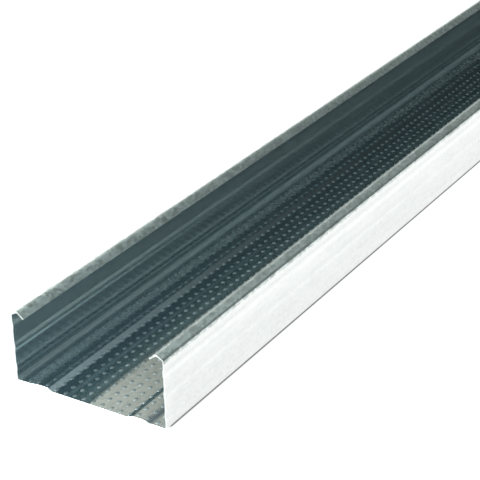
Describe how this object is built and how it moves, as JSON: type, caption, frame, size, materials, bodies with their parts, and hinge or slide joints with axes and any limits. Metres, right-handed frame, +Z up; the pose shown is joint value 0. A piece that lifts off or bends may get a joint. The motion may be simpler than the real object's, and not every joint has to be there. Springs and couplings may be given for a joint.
{
  "type": "drywall metal stud",
  "caption": "Long open channel of galvanised sheet steel with turned-in lips, a ribbed web and grooved flanges, for framing drywall.",
  "frame": {"origin": "middle of the underside of the web, halfway along the stud", "axes": "+X along the stud, +Y across the web from one flange to the other, +Z up the flanges, out of the open side"},
  "size_m": [3, 0.06, 0.027],
  "materials": {
    "galvanised_steel": "hot-dip galvanised sheet, satin, with a fine spangle and rows of small pressed dimples"
  },
  "bodies": {
    "root": {"stud_channel": "galvanised_steel"}
  },
  "joints": []
}
